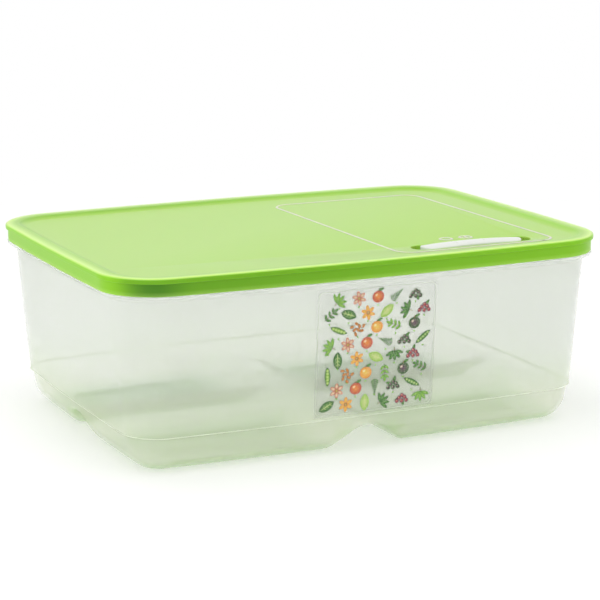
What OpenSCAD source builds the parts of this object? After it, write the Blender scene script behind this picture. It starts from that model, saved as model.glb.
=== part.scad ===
// Rectangular food storage bin: a thin moulded bin with drafted, slightly bowed walls and four
// feet parted by a cross channel, a press-on lid with a sunk panel, and a sliding air vent.
// Millimetres. X runs along the long side, -Y is the printed front, Z is up, and the origin is
// at the middle of the base, on the table.
//
// Every wall and rim below is one flat section, carried around the same outline of eight arcs.
// A section is drawn with x = minus the distance in from the lid's lip, and y = the height.

/* [Overall] */
// Length over the lid's lip, left to right.
body_l = 380; // [320:1:460]
// Width over the lid's lip, front to back.
body_w = 285; // [240:1:350]
// Height from the table to the crest of the lid.
body_h = 138; // [110:1:170]
// Corner radius of the lip, seen from above.
corner_r = 42.5; // [40.5:0.5:50]
// How far the middle of a long side stands out beyond its ends.
side_bow = 7; // [4:0.5:9]
// How far the middle of a short side stands out beyond its ends.
end_bow = 2.8; // [1.4:0.1:4]

/* [Bin] */
// Thickness of the bin's walls and floor.
wall_t = 1.8; // [1.5:0.1:2.1]
// Distance from the lip in to the wall, just below the flange.
wall_in_top = 7.4; // [7.2:0.1:8.2]
// Distance from the lip in to the wall, just above the step.
wall_in_low = 15.1; // [14.5:0.1:16]
// Height of the step above the table.
step_h = 26.2; // [24:0.1:27.5]
// How far the step goes in.
step_w = 1.8; // [1.4:0.1:2.4]
// Radius that turns the foot's side into its flat sole.
foot_r = 20.5; // [16:0.5:21.5]
// Lean of the foot's side from upright, in degrees.
foot_lean = 8.5; // [6:0.5:12]

/* [Base] */
// Height of the channels between the feet.
arch_h = 18; // [10:0.5:19]
// Width of a channel at the table.
arch_w = 68; // [50:1:74]
// Width of a channel's flat roof.
arch_top_w = 10; // [8:1:20]
// Height of the drip ribs on the floor.
rib_h = 2.2; // [1.2:0.1:3]
// Width of a drip rib.
rib_w = 8; // [6:0.5:8.5]
// Drip ribs in each quarter of the floor.
rib_n = 5; // [3:1:5]

/* [Rim and lid] */
// Gap between the lid and the bin wherever they come close.
lid_gap = 0.3; // [0.2:0.05:0.5]
// Thickness of the lid's top.
lid_t = 1.8; // [1.5:0.1:2]
// Depth of the lid's skirt below the crest.
skirt_drop = 12.4; // [11:0.1:14]
// Thickness of the skirt.
skirt_t = 1.5; // [1.2:0.1:1.6]
// Height of the lip's outer face.
lip_h = 3.6; // [3:0.1:4.5]
// How far the lip stands out beyond the skirt.
lip_over = 1.5; // [1:0.1:1.8]
// Width of the bead on top of the bin's rim.
bead_w = 3.3; // [2.8:0.1:3.6]
// Thickness of the lid's inner sealing wall.
plug_t = 1.4; // [1.2:0.1:1.6]
// Depth of the inner sealing wall below the crest.
plug_drop = 9; // [7:0.1:10.5]
// Depth of the lid's panel below the crest.
panel_drop = 2.4; // [1.6:0.1:3]
// Distance from the lip in to the flat of the panel.
panel_in = 17; // [15:0.5:20]

/* [Raised line on the lid] */
// Length of the raised line's loop, left to right.
loop_l = 127; // [110:1:135]
// Distance from the lip's right in to the loop's right.
loop_right = 36.5; // [30:0.5:42]
// Distance from the lip's front in to the loop's front.
loop_front = 24; // [22:0.5:26]
// Distance from the lip's back in to the loop's back.
loop_back = 39; // [26:1:60]
// Corner radius of the loop.
loop_r = 14; // [8:1:20]
// Width of the raised line.
line_w = 1.2; // [0.8:0.1:2]
// Height of the raised line.
line_h = 0.4; // [0.3:0.1:0.6]

/* [Vent] */
// Length of the recess in the lid.
recess_l = 95; // [86:1:98]
// Width of the recess in the lid.
recess_w = 17; // [15:0.5:18]
// Distance from the lip's front in to the middle of the recess.
recess_in = 39.5; // [35:0.5:40]
// Depth of the recess below the panel.
recess_d = 4; // [3:0.1:4.5]
// Thickness of the recess's floor and walls.
recess_t = 1.6; // [1.2:0.1:1.8]
// Slide of the vent to each side of its middle place.
vent_travel = 7; // [4:0.5:8]
// Gap between the slider and each side wall of the recess.
side_gap = 0.6; // [0.4:0.1:1]
// Gap between the slider and the end of the recess, at the end of its slide.
end_gap = 0.5; // [0.4:0.1:1]
// Gap above and below the recess's floor.
floor_gap = 0.3; // [0.2:0.05:0.5]
// How far the slider's middle stands above the panel.
grip_rise = 2; // [1.6:0.1:3.5]
// How much lower the slider's ends are than its middle.
grip_fall = 1.3; // [0.8:0.1:1.8]
// Thickness of the slider's walls.
grip_t = 1.6; // [1.2:0.1:2]
// Length of a slider stem along the slide.
stem_l = 4; // [3:0.1:5]
// Width of a slider stem across the slide.
stem_w = 4.4; // [3.6:0.1:5]
// Distance of each stem from the slider's middle.
stem_x = 14; // [13:0.5:18]
// Width of the hooks at the ends of the stems.
hook_w = 8.6; // [7.6:0.1:9.6]
// Thickness of the hooks.
hook_t = 1.6; // [1.2:0.1:2]
// Air slots, or blind grooves, at each end of the recess.
slot_n = 4; // [3:1:4]
// Width of an air slot.
slot_w = 1.6; // [1.2:0.1:1.8]
// Length of an air slot, across the recess.
slot_l = 9; // [6:0.5:9]
// Spacing of the air slots.
slot_pitch = 3.4; // [3:0.1:3.5]

/* [Front print] */
// Width of the printed film.
print_w = 92; // [60:1:120]
// Height of the film's lower edge above the table.
print_low = 28.5; // [28:0.5:40]
// Height of the film's upper edge below the crest.
print_drop = 19; // [18:1:40]
// Thickness of the film.
print_t = 0.2; // [0.1:0.05:0.3]
// Glue line between the film and the wall.
print_gap = 0.02; // [0.01:0.01:0.05]

/* [Hidden] */
$fn = 96;
// Steps to a full turn on the long, flat arcs of the sides and ends.
flat_fn = 2880;
// Flats to each rounded turn of a section.
steps = 6;

// The outline: a long flat arc on each side and each end, and a tangent corner arc between.
side_r = (pow(body_l / 2, 2) + pow(side_bow, 2)) / (2 * side_bow);
end_r = (pow(body_w / 2, 2) + pow(end_bow, 2)) / (2 * end_bow);
side_cy = body_w / 2 - side_r;
end_cx = body_l / 2 - end_r;
// The corner's centre lies side_r - corner_r from one centre and end_r - corner_r from the other.
span = norm([end_cx, -side_cy]);
along = (pow(side_r - corner_r, 2) - pow(end_r - corner_r, 2) + pow(span, 2)) / (2 * span);
across = sqrt(pow(side_r - corner_r, 2) - pow(along, 2));
ux = end_cx / span;
uy = -side_cy / span;
corner_x = ux * along + uy * across;
corner_y = side_cy + uy * along - ux * across;
side_a = atan2(corner_y - side_cy, corner_x);
end_a = atan2(corner_y, corner_x - end_cx);

// Heights, from the table up.
lip_z = body_h - lip_h;
skirt_z = body_h - skirt_drop;
flange_z = skirt_z - lid_gap;
panel_z = body_h - panel_drop;
recess_z = panel_z - recess_d;
recess_y = -body_w / 2 + recess_in;

// Distances in from the lip, at the rim.
skirt_in = lip_over + skirt_t;
bead_in = skirt_in + lid_gap;
plug_in = bead_in + bead_w + lid_gap;
stand_t = wall_t;
bead_mid = bead_in + bead_w / 2;
stand_in = bead_in + bead_w - stand_t;

// The foot: its side leans in from the step, and an arc turns it into the flat sole.
foot_in = wall_in_low + step_w;
turn_z = foot_r * (1 - sin(foot_lean));
turn_in = foot_in + (step_h - turn_z) * tan(foot_lean);
sole_in = turn_in + foot_r * cos(foot_lean);
core_in = (sole_in + corner_r) / 2;
ring_in = (core_in + corner_r) / 2;

// The ribs fill the room between a channel and the edge of the sole.
rib_y0 = arch_w / 2 + rib_w / 2 + 2;
rib_y1 = body_w / 2 - sole_in - rib_w / 2 - 1;
rib_pitch = (rib_y1 - rib_y0) / (rib_n - 1);

// The raised loop, and the vent in the middle of its length.
loop_w = body_w - loop_front - loop_back;
loop_x = body_l / 2 - loop_right - loop_l / 2;
slider_l = recess_l - 2 * (vent_travel + end_gap);
slider_w = recess_w - 2 * side_gap;

// A point of the outline, taken in by d, at angle a about the arc that it lies on.
function corner_pt(d, a) = [corner_x + (corner_r - d) * cos(a), corner_y + (corner_r - d) * sin(a)];
function side_pt(d, a) = [(side_r - d) * cos(a), side_cy + (side_r - d) * sin(a)];
function end_pt(d, a) = [end_cx + (end_r - d) * cos(a), (end_r - d) * sin(a)];

// One quarter of the outline taken in by d, from the middle of the right end to the back's middle.
// No point lies where two arcs meet, so that none falls on the seam of a carried section.
function quarter(d) = concat(
  [for (i = [0 : 3]) end_pt(d, end_a * i / 4)],
  [for (i = [0 : 6]) corner_pt(d, end_a + (side_a - end_a) * (i + 0.5) / 7)],
  [for (i = [1 : 7]) side_pt(d, side_a + (90 - side_a) * i / 8)],
  [[0, body_w / 2 - d]]
);

function turned(p) = [for (i = [len(p) - 1 : -1 : 0]) p[i]];

// The whole outline taken in by d, as corner points.
function outline(d) =
  let (q = quarter(d), m = len(q))
  concat(
    q,
    [for (p = turned([for (i = [0 : m - 2]) q[i]])) [-p[0], p[1]]],
    [for (i = [1 : m - 1]) [-q[i][0], -q[i][1]]],
    [for (p = turned([for (i = [1 : m - 2]) q[i]])) [p[0], -p[1]]]
  );

// Moves by whole millimetres, then thousandths, then the rest, so that a long move stays fine
// enough for two arcs to meet without a step.
module shift(x, y) {
  kx = floor(x * 1000) / 1000;
  ky = floor(y * 1000) / 1000;
  translate([floor(x), floor(y), 0])
    translate([kx - floor(x), ky - floor(y), 0])
      translate([x - kx, y - ky, 0])
        children();
}

// One arc of the outline, about its centre, from angle a0 to a1 and a little over at each end.
module arc_piece(r, cx, cy, a0, a1, over) {
  shift(cx, cy)
    rotate_extrude(angle = a1 - a0 + 2 * over, start = a0 - over)
      shift(r, 0)
        children();
}

// A tall prism on a plan, that trims an arc where it meets the next.
module trim(plan) {
  translate([0, 0, -10])
    linear_extrude(height = body_h + 20)
      polygon(plan);
}

// Carries a section around the outline: four corners, two sides and two ends.
module sweep() {
  reach = 80;
  c = [corner_x, corner_y];
  p = c + reach * [cos(side_a), sin(side_a)];
  q = c + reach * [cos(end_a), sin(end_a)];
  for (sx = [0, 1])
    for (sy = [0, 1])
      mirror([sx, 0, 0])
        mirror([0, sy, 0])
          intersection() {
            arc_piece(corner_r, corner_x, corner_y, end_a, side_a, 1, $fn = 240)
              children();
            trim([c, q, [q[0], p[1]], p]);
          }
  for (s = [0, 1])
    mirror([0, s, 0])
      intersection() {
        arc_piece(side_r, 0, side_cy, side_a, 180 - side_a, 0.1, $fn = flat_fn)
          children();
        trim([c, p, [-p[0], p[1]], [-c[0], c[1]]]);
      }
  for (s = [0, 1])
    mirror([s, 0, 0])
      intersection() {
        arc_piece(end_r, end_cx, 0, -end_a, end_a, 0.05, $fn = flat_fn)
          children();
        trim([c, q, [q[0], -q[1]], [c[0], -c[1]]]);
      }
}

// The turn from the foot's side to its sole, along an arc of radius r about the foot's centre.
function foot_turn(r) = [
  for (i = [0 : steps])
    let (a = foot_lean + (90 - foot_lean) * i / steps)
    [-sole_in + r * cos(a), foot_r - r * sin(a)]
];

// The bin's wall from its sole up: foot, step, wall, flange and rim.
module wall_section() {
  inner = wall_t / cos(atan((wall_in_low - wall_in_top) / (flange_z - 4.3 - step_h)));
  bead_z = body_h - lid_t - lid_gap;
  polygon(concat(
    [
      [-foot_in, step_h],
      [-wall_in_low, step_h + 0.6],
      [-wall_in_top, flange_z - 4.3],
      [-lip_over - 0.1, flange_z - 1.9],
      [-lip_over + 0.5, flange_z - 1.3],
      [-lip_over + 0.5, flange_z],
      [-stand_in, flange_z],
      [-stand_in, bead_z - 3.9],
      [-bead_in, bead_z - 3.1],
      [-bead_in, bead_z - 0.9],
      [-bead_in - 0.8, bead_z - 0.1],
      [-bead_in - bead_w + 0.8, bead_z - 0.1],
      [-bead_in - bead_w, bead_z - 0.9],
      [-bead_in - bead_w, flange_z],
      [-wall_in_top - inner, flange_z],
      [-wall_in_top - inner, flange_z - 4.3],
      [-wall_in_low - inner, step_h + 2.4],
      [-foot_in - wall_t, step_h + 1.8],
      [-foot_in - wall_t, step_h + 0.4]
    ],
    foot_turn(foot_r - wall_t),
    [
      [-ring_in, wall_t],
      [-ring_in, 0]
    ],
    turned(foot_turn(foot_r))
  ));
}

// The space inside the bin's outer skin, up to a little below the step.
module envelope() {
  top = arch_h + wall_t + 2;
  sweep()
    polygon(concat(
      [
        [-ring_in, 0],
        [-ring_in, top],
        [-turn_in + (top - turn_z) * tan(foot_lean), top]
      ],
      foot_turn(foot_r)
    ));
  linear_extrude(height = top)
    polygon(outline(core_in));
}

// Half widths along an S-shaped flank that falls from the roof to the floor.
function flank(w_top, w_low, h, z0) = [
  for (i = [0 : steps])
    let (t = i / steps)
    [w_top + (w_low - w_top) * t, z0 + h * (0.5 + 0.5 * cos(180 * t))]
];

// A bell-shaped channel section, h high above z0, filled down to z_low.
module bell(w_top, w_low, h, z0, z_low) {
  f = flank(w_top / 2, w_low / 2, h, z0);
  polygon(concat(
    [[w_low / 2, z_low]],
    turned(f),
    [for (p = f) [-p[0], p[1]]],
    [[-w_low / 2, z_low]]
  ));
}

// Lays a bell section along the X axis and along the Y axis.
module cross(reach) {
  rotate([90, 0, 0])
    linear_extrude(height = body_w + 2 * reach, center = true)
      children();
  rotate([90, 0, 90])
    linear_extrude(height = body_l + 2 * reach, center = true)
      children();
}

// A flat bar with round ends, w wide, from x0 to x1.
module round_bar(x0, x1, w) {
  translate([x0 + w / 2, -w / 2])
    square([x1 - x0 - w, w]);
  translate([x0 + w / 2, 0])
    circle(d = w);
  translate([x1 - w / 2, 0])
    circle(d = w);
}

// The drip ribs of all four quarters, narrowed by 2 * thin and as tall as tall.
module ribs(thin, tall) {
  x0 = arch_w / 2 + 6;
  x1 = body_l / 2 - sole_in - 4;
  for (sx = [0, 1])
    for (sy = [0, 1])
      mirror([sx, 0, 0])
        mirror([0, sy, 0])
          for (i = [0 : rib_n - 1])
            translate([0, rib_y0 + i * rib_pitch, 0])
              linear_extrude(height = tall)
                round_bar(x0 + thin, x1 - 2 * i - thin, rib_w - 2 * thin);
}

// The one-piece bin.
module bin() {
  color([0.86, 0.89, 0.84])
    difference() {
      union() {
        sweep()
          wall_section();
        linear_extrude(height = wall_t)
          polygon(outline(core_in));
        intersection() {
          cross(0)
            bell(arch_top_w + 1, arch_w + 1, arch_h, wall_t, wall_t / 2);
          envelope();
        }
        translate([0, 0, wall_t / 2])
          ribs(0, wall_t / 2 + rib_h);
      }
      cross(5)
        bell(arch_top_w, arch_w, arch_h, 0, -2);
      translate([0, 0, -1])
        ribs(wall_t / 2, rib_h + 1);
    }
}

// The printed film on the front wall.
module front_print() {
  slope = (wall_in_low - wall_in_top) / (flange_z - 4.3 - step_h - 0.6);
  low_in = wall_in_low - (print_low - step_h - 0.6) * slope;
  top_z = body_h - print_drop;
  top_in = wall_in_low - (top_z - step_h - 0.6) * slope;
  half_a = asin(print_w / 2 / side_r);
  color([0.45, 0.6, 0.25])
    mirror([0, 1, 0])
      translate([0, side_cy, 0])
        rotate([0, 0, 90 - half_a])
          rotate_extrude(angle = 2 * half_a, $fn = flat_fn)
            translate([side_r, 0])
              polygon([
                [-low_in + print_gap, print_low],
                [-low_in + print_gap + print_t, print_low],
                [-top_in + print_gap + print_t, top_z],
                [-top_in + print_gap, top_z]
              ]);
}

// The lid's rim: lip, skirt, inner sealing wall and the slope down to the panel.
module lid_section() {
  crest_in = plug_in + plug_t / 2;
  core = panel_in + 2;
  slope = [
    for (i = [0 : steps])
      let (t = i / steps)
      [-crest_in - (panel_in - crest_in) * t, body_h - panel_drop * (0.5 - 0.5 * cos(180 * t))]
  ];
  under_in = plug_in + plug_t;
  under = [for (p = turned(slope)) if (-p[0] > under_in + 0.3) [p[0], p[1] - lid_t]];
  polygon(concat(
    [
      [-0.4, body_h - 0.7],
      [0, body_h - 1.6],
      [0, lip_z + 0.4],
      [-0.4, lip_z],
      [-lip_over, lip_z - 0.4],
      [-lip_over - 0.1, skirt_z],
      [-skirt_in, skirt_z],
      [-skirt_in, body_h - lid_t],
      [-plug_in, body_h - lid_t],
      [-plug_in - 0.2, body_h - plug_drop],
      [-plug_in - plug_t, body_h - plug_drop],
      [-under_in, body_h - lid_t - 0.25]
    ],
    turned(under),
    [
      [-core, panel_z - lid_t],
      [-core, panel_z]
    ],
    turned(slope),
    [[-1.6, body_h]]
  ));
}

// A flat plate with round corners, centred.
module round_plate(l, w, r) {
  square([l - 2 * r, w], center = true);
  square([l, w - 2 * r], center = true);
  for (sx = [-1, 1])
    for (sy = [-1, 1])
      translate([sx * (l / 2 - r), sy * (w / 2 - r)])
        circle(r = r);
}

// A stadium, l long and w wide, centred.
module stadium(l, w) {
  square([l - w, w], center = true);
  for (s = [-1, 1])
    translate([s * (l - w) / 2, 0])
      circle(d = w);
}

// The air slots at one end of the recess, where s is -1 for the left end and 1 for the right.
module end_slots(s) {
  for (i = [0 : slot_n - 1])
    translate([s * (recess_l / 2 - 2.4 - slot_w / 2 - i * slot_pitch), 0])
      square([slot_w, slot_l - (i == 0 ? 2.4 : 0)], center = true);
}

// The one-piece lid.
module lid() {
  pocket = recess_z - recess_t;
  color([0.6, 0.84, 0.4])
    difference() {
      union() {
        sweep()
          lid_section();
        translate([0, 0, panel_z - lid_t])
          linear_extrude(height = lid_t)
            polygon(outline(panel_in + 1));
        translate([loop_x, (loop_front - loop_back) / 2, panel_z - lid_t / 2])
          linear_extrude(height = lid_t / 2 + line_h)
            difference() {
              round_plate(loop_l, loop_w, loop_r);
              round_plate(loop_l - 2 * line_w, loop_w - 2 * line_w, loop_r - line_w);
            }
        translate([loop_x, recess_y, pocket])
          linear_extrude(height = panel_z - lid_t / 2 - pocket)
            stadium(recess_l + 2 * recess_t, recess_w + 2 * recess_t);
      }
      translate([loop_x, recess_y, recess_z])
        linear_extrude(height = recess_d + 2)
          stadium(recess_l, recess_w);
      translate([loop_x, recess_y, pocket - 1]) {
        linear_extrude(height = recess_t + 2)
          end_slots(-1);
        for (s = [-1, 1])
          translate([s * stem_x, 0, 0])
            linear_extrude(height = recess_t + 2)
              square([stem_l + 2 * (vent_travel + floor_gap), stem_w + 2 * floor_gap], center = true);
      }
      translate([loop_x, recess_y, recess_z - recess_t / 2])
        linear_extrude(height = recess_t)
          end_slots(1);
    }
}

// The vent's slider: a hollow grip with two hooked stems that reach through the recess's floor.
module vent_slider() {
  low = recess_z + floor_gap;
  top = panel_z + grip_rise;
  bow_r = (pow(slider_l / 2, 2) + pow(grip_fall, 2)) / (2 * grip_fall);
  hook_z = recess_z - recess_t - floor_gap;
  color([0.96, 0.96, 0.95])
    translate([loop_x, recess_y, 0]) {
      difference() {
        intersection() {
          translate([0, 0, low])
            linear_extrude(height = top - low + 1)
              stadium(slider_l, slider_w);
          translate([0, 0, top - bow_r])
            rotate([90, 0, 0])
              cylinder(r = bow_r, h = slider_w + 4, center = true, $fn = flat_fn);
        }
        translate([0, 0, low - 1])
          linear_extrude(height = top - grip_t - grip_fall - low + 1)
            stadium(slider_l - 2 * grip_t, slider_w - 2 * grip_t);
        translate([-2, 0, top + 7.4])
          sphere(r = 8);
      }
      for (s = [-1, 1])
        translate([s * stem_x, 0, 0]) {
          translate([-stem_l / 2, -stem_w / 2, hook_z - hook_t / 2])
            cube([stem_l, stem_w, top - grip_t - hook_z + hook_t / 2]);
          translate([-stem_l / 2, -hook_w / 2, hook_z - hook_t])
            cube([stem_l, hook_w, hook_t]);
        }
    }
}

bin();
front_print();
lid();
vent_slider();
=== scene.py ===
# %% [markdown]
# # A frosted produce bin with a green press-on lid
# This lesson builds the looks of a large fridge bin: a thin translucent tub on four feet, a satin
# green lid with a sunk panel, a glossy white vent slider, and a printed film on the front. The sizes
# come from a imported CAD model, which is loaded first and never changed. Each cell makes one piece
# or one finish, and prints what it made.

from math import atan, atan2, cos, hypot, pi, radians, sin, sqrt, tan

import bmesh
import bpy
from mathutils import Matrix, Vector


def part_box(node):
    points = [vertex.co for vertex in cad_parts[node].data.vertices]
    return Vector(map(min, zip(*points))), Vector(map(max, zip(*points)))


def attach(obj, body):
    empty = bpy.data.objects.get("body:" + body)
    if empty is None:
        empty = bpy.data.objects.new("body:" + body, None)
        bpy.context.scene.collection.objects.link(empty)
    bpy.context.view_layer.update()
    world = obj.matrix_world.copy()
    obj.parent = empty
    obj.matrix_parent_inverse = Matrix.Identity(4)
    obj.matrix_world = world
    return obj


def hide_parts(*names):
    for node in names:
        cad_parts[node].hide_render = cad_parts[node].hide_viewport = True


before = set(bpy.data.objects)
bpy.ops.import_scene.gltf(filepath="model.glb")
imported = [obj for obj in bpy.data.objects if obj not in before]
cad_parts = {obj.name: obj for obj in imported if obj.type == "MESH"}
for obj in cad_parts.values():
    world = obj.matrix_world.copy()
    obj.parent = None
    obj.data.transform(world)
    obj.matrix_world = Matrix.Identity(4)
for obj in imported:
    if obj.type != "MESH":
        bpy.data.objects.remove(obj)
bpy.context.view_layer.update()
print("CAD nodes:", sorted(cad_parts))

# %% [markdown]
# ## Sizes
# The real pieces are measured in millimetres, so the pieces are modelled in millimetres too, and
# scaled to metres when they are done. The overall size is read from the CAD lid's box, and the
# named values below are the ones that shape the walls and the rim.

# %% Sizes from the frame, in millimetres
MM = 0.001


def in_mm(metres):
    """A length of the frame in millimetres, to a hundredth."""
    return round(metres / MM, 2)


lid_low, lid_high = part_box("lid")
body_l = in_mm(lid_high.x - lid_low.x)
body_w = in_mm(lid_high.y - lid_low.y)
body_h = in_mm(lid_high.z)
corner_r = 42.5
side_bow = 7.0
end_bow = 2.8

wall_t = 1.8
wall_in_top = 7.4
wall_in_low = 15.1
step_h = 26.2
step_w = 1.8
foot_r = 20.5
foot_lean = radians(8.5)

arch_h = 18.0
arch_w = 68.0
arch_top_w = 10.0
rib_h = 2.2
rib_w = 8.0
rib_n = 5

lid_t = 1.8
lid_gap = 0.3
skirt_z = body_h - 12.4
skirt_t = 1.5
lip_over = 1.5
bead_w = 3.3
plug_t = 1.4
panel_z = body_h - 2.4
panel_in = 17.0
flange_z = skirt_z - lid_gap
print("bin", body_l, "x", body_w, "x", body_h, "mm")

# %% [markdown]
# ## The camera
# A product photograph like this is taken with a long lens from a little above the table, to the
# left of the front. The lens and the place of the camera set how much the far edges shrink, so the
# camera comes first and is never changed to hide a fault.

# %% Camera
focal_mm = 124.3
azimuth = radians(-25.03)
elevation = radians(12.20)
roll = radians(-0.229)
distance = 1.5351
target = Vector((0.00401, 0.0, 0.08228))

back = Vector((sin(azimuth) * cos(elevation), -cos(azimuth) * cos(elevation), sin(elevation)))
right = Vector((cos(azimuth), sin(azimuth), 0.0))
up = back.cross(right)
rolled_right = right * cos(roll) + up * sin(roll)
rolled_up = up * cos(roll) - right * sin(roll)

camera_data = bpy.data.cameras.new("camera")
camera_data.lens = focal_mm
camera_data.sensor_width = 36.0
camera_data.clip_end = 50.0
camera = bpy.data.objects.new("camera", camera_data)
camera.rotation_mode = "QUATERNION"
turn = Matrix((rolled_right, rolled_up, back)).transposed()
camera.rotation_quaternion = turn.to_quaternion()
camera.location = target + back * distance
bpy.context.scene.collection.objects.link(camera)
bpy.context.scene.camera = camera
print("camera at", [round(x, 3) for x in camera.location])

# %% [markdown]
# ## The outline
# Seen from above, the bin isn't a plain rounded rectangle. Each side and each end is a long flat
# arc that bows outward, and a tangent arc turns each corner. Every wall of the bin and the lid is
# this one outline, taken in by some distance. Each point of it is kept as a centre, a radius and an
# angle, so taking it in only shortens the radius.

# %% The eight arcs
side_r = ((body_l / 2) ** 2 + side_bow ** 2) / (2 * side_bow)
end_r = ((body_w / 2) ** 2 + end_bow ** 2) / (2 * end_bow)
side_cy = body_w / 2 - side_r
end_cx = body_l / 2 - end_r
span = hypot(end_cx, side_cy)
along = ((side_r - corner_r) ** 2 - (end_r - corner_r) ** 2 + span ** 2) / (2 * span)
across = sqrt((side_r - corner_r) ** 2 - along ** 2)
corner_x = (end_cx * along - side_cy * across) / span
corner_y = side_cy - (side_cy * along + end_cx * across) / span
side_a = atan2(corner_y - side_cy, corner_x)
end_a = atan2(corner_y, corner_x - end_cx)
mid_a = (side_a + end_a) / 2


def arc_run(centre, radius, start, stop, count):
    """Count points along one arc, without the last."""
    return [(centre, radius, start + (stop - start) * i / count) for i in range(count)]


def outline_points(corner_n, side_n, end_n):
    """The whole outline, anticlockwise from the middle of the front left corner."""
    half = corner_n // 2
    top = arc_run((corner_x, corner_y), corner_r, mid_a, side_a, half)
    top += arc_run((0, side_cy), side_r, side_a, pi - side_a, side_n)
    top += arc_run((-corner_x, corner_y), corner_r, pi - side_a, pi - mid_a, half)
    left = arc_run((-corner_x, corner_y), corner_r, pi - mid_a, pi - end_a, half)
    left += arc_run((-end_cx, 0), end_r, pi - end_a, pi + end_a, end_n)
    left += arc_run((-corner_x, -corner_y), corner_r, pi + end_a, pi + mid_a, half)
    turned = [((-c[0], -c[1]), r, a + pi) for c, r, a in top + left]
    return turned + top + left


def taken_in(point, inset):
    """Where a point of the outline lies when the outline is taken in."""
    (cx, cy), radius, angle = point
    return cx + (radius - inset) * cos(angle), cy + (radius - inset) * sin(angle)


def smooth_share(value, low, high):
    """0 at low, 1 at high, and smooth between."""
    share = min(max((value - low) / (high - low), 0.0), 1.0)
    return share * share * (3 - 2 * share)


def inset_of(x, y):
    """How far inside the outline a point lies."""
    x, y = abs(x), abs(y)
    if atan2(y - side_cy, x) >= side_a:
        return side_r - hypot(x, y - side_cy)
    if atan2(y, x - end_cx) <= end_a:
        return end_r - hypot(x - end_cx, y)
    return corner_r - hypot(x - corner_x, y - corner_y)


print("corner centre", round(corner_x, 2), round(corner_y, 2))

# %% [markdown]
# ## Modelling helpers
# A wall that follows the outline is made ring by ring: the edges of one ring are extruded, and the
# new ring is put at its own inset and height. A number kept on each vertex says which point of the
# outline it belongs to, and an extrude copies that number to the new vertex.

# %% Rings
def new_ring(bm, count):
    """A closed ring of numbered vertices, and its edges."""
    label = bm.verts.layers.int.get("point") or bm.verts.layers.int.new("point")
    made = bmesh.ops.create_circle(bm, segments=count, radius=1)["verts"]
    for number, vert in enumerate(made):
        vert[label] = number
    edges = {edge for vert in made for edge in vert.link_edges}
    return made, sorted(edges, key=lambda edge: min(v[label] for v in edge.verts))


def extrude_ring(bm, edges):
    """Extrudes a ring's edges, and returns the new ring's vertices and edges."""
    made = bmesh.ops.extrude_edge_only(bm, edges=edges)["geom"]
    verts = [item for item in made if isinstance(item, bmesh.types.BMVert)]
    fresh = set(verts)
    ring = [
        item for item in made
        if isinstance(item, bmesh.types.BMEdge) and all(v in fresh for v in item.verts)
    ]
    return verts, ring


def stack_rings(bm, profile, outline_at, count, edges=None):
    """Rings by (size, height) pairs, where outline_at(size) gives the points of one ring."""
    label = bm.verts.layers.int.get("point") or bm.verts.layers.int.new("point")
    first = edges
    made = []
    for size, height in profile:
        if edges is None:
            verts, edges = new_ring(bm, count)
            first = list(edges)
        else:
            verts, edges = extrude_ring(bm, edges)
        place = outline_at(size)
        for vert in verts:
            vert.co = (*place[vert[label]], height)
        made += verts
    return made, first, edges


def loft(bm, points, section, edges=None):
    """Carries a section of (inset, height) pairs round the outline, and returns its last edges."""
    def outline_at(inset):
        return [taken_in(point, inset) for point in points]
    return stack_rings(bm, section, outline_at, len(points), edges)[2]


def rounded(corners, steps=4):
    """A path through (inset, height, radius) corners, with an arc of that radius at each."""
    path = []
    for i, (x, z, radius) in enumerate(corners):
        here = Vector((x, z))
        if radius == 0 or i in (0, len(corners) - 1):
            path.append((x, z))
            continue
        before = (Vector(corners[i - 1][:2]) - here)
        after = (Vector(corners[i + 1][:2]) - here)
        half = before.angle(after) / 2
        reach = min(radius / tan(half), before.length * 0.49, after.length * 0.49)
        start = here + before.normalized() * reach
        stop = here + after.normalized() * reach
        for step in range(steps + 1):
            t = step / steps
            bend = start.lerp(here, t).lerp(here.lerp(stop, t), t)
            path.append((bend.x, bend.y))
    return path


print("a rounded right angle has", len(rounded([(0, 0, 0), (0, 1, 0.2), (1, 1, 0)])), "points")

# %% [markdown]
# A finished piece is scaled to metres and shaded smooth, with sharp edges kept where two faces meet
# at a clear angle. Then it rides on the CAD body that carries it.

# %% Finish a piece
sharp_angle = radians(32.0)


def as_object(bm, name):
    """Turns a finished bmesh into an object of the scene."""
    mesh = bpy.data.meshes.new(name)
    bm.to_mesh(mesh)
    bm.free()
    made = bpy.data.objects.new(name, mesh)
    bpy.context.scene.collection.objects.link(made)
    return made


def finish_piece(bm, name, body, materials):
    """Scales and shades a piece, gives it its materials, and puts it on its body."""
    bmesh.ops.scale(bm, vec=(MM, MM, MM), verts=bm.verts)
    numbers = bm.verts.layers.int.get("point")
    if numbers:
        bm.verts.layers.int.remove(numbers)
    for face in bm.faces:
        face.smooth = True
    for edge in bm.edges:
        edge.smooth = edge.calc_face_angle(0.0) < sharp_angle
    piece = as_object(bm, name)
    for material in materials:
        piece.data.materials.append(material)
    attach(piece, body)
    print(name, len(piece.data.vertices), "vertices,", len(piece.data.polygons), "faces")
    return piece


print("pieces are scaled by", MM)

# %% [markdown]
# ## Materials
# Colours are written as they look on screen, and turned into the linear values that a shader uses.
# Every plastic here has a little cloud in its colour and a fine grain in its surface, because a
# moulded part is never perfectly even.

# %% Colour and node helpers
def linear(red, green, blue):
    """A screen colour of 0 to 255 a channel, as linear values with an alpha of 1."""
    def channel(value):
        value /= 255
        return value / 12.92 if value <= 0.04045 else ((value + 0.055) / 1.055) ** 2.4
    return (channel(red), channel(green), channel(blue), 1.0)


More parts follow.
